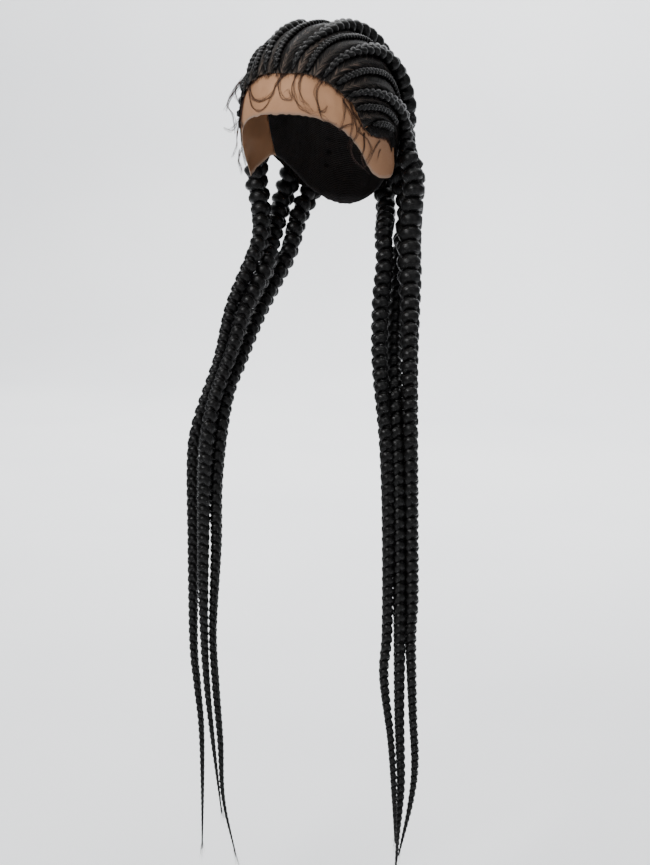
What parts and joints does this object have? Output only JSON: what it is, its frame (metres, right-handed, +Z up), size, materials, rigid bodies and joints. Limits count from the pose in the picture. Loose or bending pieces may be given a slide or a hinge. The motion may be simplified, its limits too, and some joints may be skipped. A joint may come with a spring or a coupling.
{
  "type": "braid wig",
  "caption": "Cornrow braid wig on a lace cap: jumbo and thin plaited rows run back over the crown and go on as long hanging braids on both sides.",
  "frame": {"origin": "inside of the crown of the cap, where the wig rests on the top of a head", "axes": "+Z up, the wearer faces -Y, the wearer's left is +X"},
  "size_m": [0.2659, 0.2128, 0.9194],
  "materials": {
    "lace": "fine skin-toned lace net, matt",
    "cap_net": "fine black net covered by flat pulled hair",
    "braid_hair": "near-black synthetic hair in a three-strand plait, satin sheen",
    "thin_row_hair": "near-black synthetic hair in a tight thin plait, satin sheen"
  },
  "bodies": {
    "root": {"lace_front": "lace", "cap_back": "cap_net", "jumbo_row_left_1": "braid_hair", "jumbo_row_left_2": "braid_hair", "jumbo_row_left_3": "braid_hair", "jumbo_row_right_1": "braid_hair", "jumbo_row_right_2": "braid_hair", "jumbo_row_right_3": "braid_hair", "hanging_braid_left_1": "braid_hair", "hanging_braid_left_2": "braid_hair", "hanging_braid_left_3": "braid_hair", "hanging_braid_right_1": "braid_hair", "hanging_braid_right_2": "braid_hair", "hanging_braid_right_3": "braid_hair", "thin_row_left_1": "thin_row_hair", "thin_row_left_2": "thin_row_hair", "thin_row_left_3": "thin_row_hair", "thin_row_left_4": "thin_row_hair", "thin_row_right_1": "thin_row_hair", "thin_row_right_2": "thin_row_hair", "thin_row_right_3": "thin_row_hair", "thin_row_right_4": "thin_row_hair", "thin_row_centre": "thin_row_hair"}
  },
  "joints": []
}
